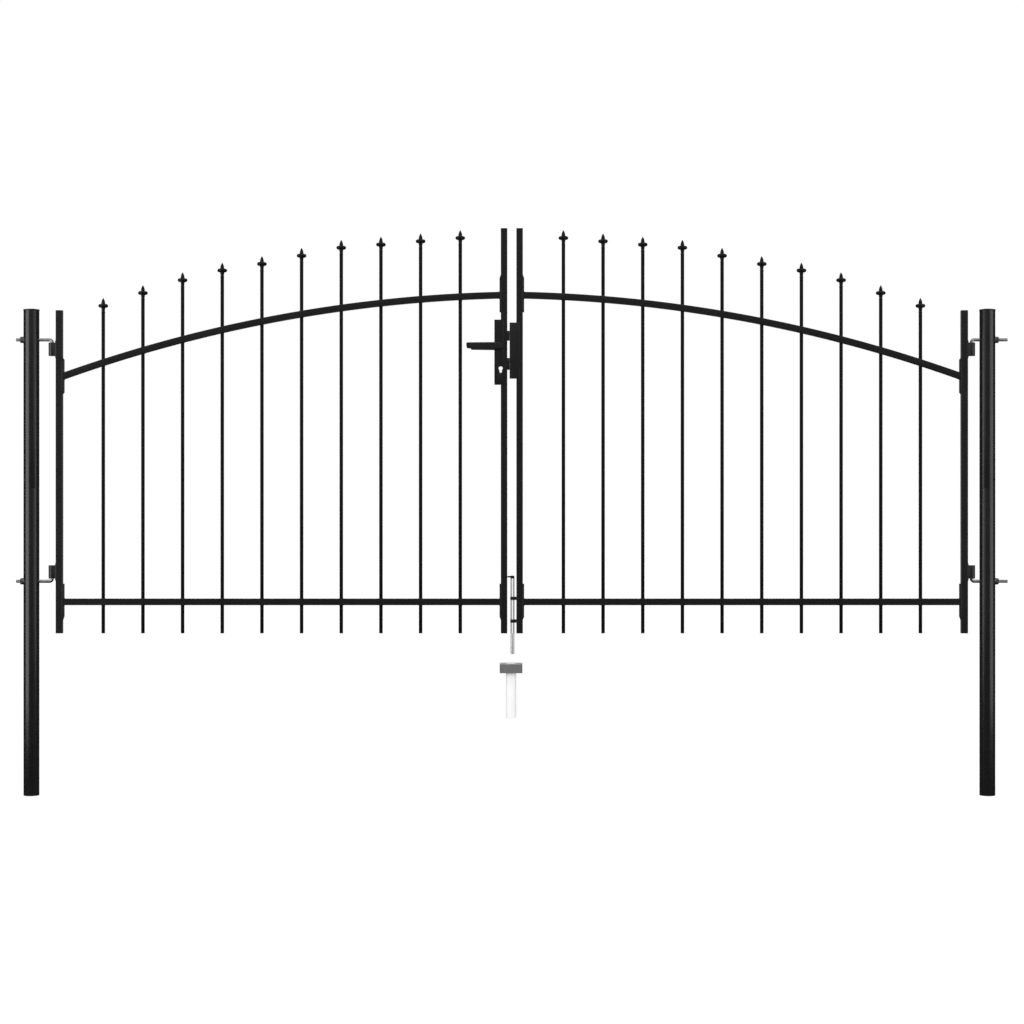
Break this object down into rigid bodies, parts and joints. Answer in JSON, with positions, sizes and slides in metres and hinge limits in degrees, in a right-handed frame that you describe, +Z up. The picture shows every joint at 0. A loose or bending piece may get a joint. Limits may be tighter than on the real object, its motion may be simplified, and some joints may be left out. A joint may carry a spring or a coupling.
{
  "type": "double-leaf driveway gate",
  "caption": "Arched driveway gate of spear-topped picket leaves with a lever lock and a drop bolt, hung on hook bolts between round posts.",
  "frame": {"origin": "middle of the left post's foot", "axes": "+X along the gate to the right post, +Y to the back, +Z up"},
  "size_m": [3.061, 0.07, 1.75],
  "materials": {
    "black_coat": "satin black powder coat",
    "lock_coat": "satin black powder coat",
    "spear_castings": "satin black coat on castings",
    "black_plastic": "matte",
    "zinc_steel": "zinc plated",
    "dark_steel": "dark oiled steel",
    "grey_plastic": "matte",
    "white_plastic": "matte"
  },
  "bodies": {
    "posts": {"left_post": "black_coat", "right_post": "black_coat", "left_post_cap": "black_plastic", "right_post_cap": "black_plastic", "left_upper_hook_bolt": "zinc_steel", "left_lower_hook_bolt": "zinc_steel", "right_upper_hook_bolt": "zinc_steel", "right_lower_hook_bolt": "zinc_steel", "left_hook_nuts": "zinc_steel", "right_hook_nuts": "zinc_steel", "ground_block": "grey_plastic", "ground_tube": "white_plastic"},
    "left_leaf": {"left_hinge_stile": "black_coat", "left_meeting_stile": "black_coat", "left_bottom_rail": "black_coat", "left_arched_rail": "black_coat", "left_pickets": "black_coat", "left_spear_heads": "spear_castings", "left_rail_plates": "black_coat", "left_stile_plugs": "black_plastic", "left_upper_sleeve": "black_coat", "left_lower_sleeve": "black_coat", "lock_case": "lock_coat", "dead_bolt": "lock_coat"},
    "right_leaf": {"right_hinge_stile": "black_coat", "right_meeting_stile": "black_coat", "right_bottom_rail": "black_coat", "right_arched_rail": "black_coat", "right_pickets": "black_coat", "right_spear_heads": "spear_castings", "right_rail_plates": "black_coat", "right_stile_plugs": "black_plastic", "right_upper_sleeve": "black_coat", "right_lower_sleeve": "black_coat", "keep": "lock_coat", "rod_guides": "black_coat"},
    "lever": {"lever_front": "lock_coat", "lever_back": "lock_coat", "lever_spindle": "zinc_steel"},
    "latch": {"latch_bolt": "dark_steel"},
    "drop_bolt": {"drop_rod": "zinc_steel"}
  },
  "joints": [
    {"name": "left_leaf_swing", "type": "hinge", "parent": "posts", "child": "left_leaf", "pos_m": [0.064, 0, 0.5], "axis": [0, 0, 1], "range_deg": [0, 100]},
    {"name": "right_leaf_swing", "type": "hinge", "parent": "posts", "child": "right_leaf", "pos_m": [2.903, 0, 0.5], "axis": [0, 0, -1], "range_deg": [0, 100]},
    {"name": "lever_turn", "type": "hinge", "parent": "left_leaf", "child": "lever", "pos_m": [1.4445, 0, 1.38577], "axis": [0, -1, 0], "range_deg": [0, 40], "stiffness_Nm_per_rad": 1, "springref_deg": -28.65},
    {"name": "latch_slide", "type": "slide", "parent": "left_leaf", "child": "latch", "axis": [-1, 0, 0], "range_m": [0, 0.0063]},
    {"name": "drop_bolt_slide", "type": "slide", "parent": "right_leaf", "child": "drop_bolt", "axis": [0, 0, 1], "range_m": [-0.056, 0]}
  ],
  "couplings": [
    {"joint": "latch_slide", "follows": "lever_turn", "m_per_rad": 0.009}
  ]
}
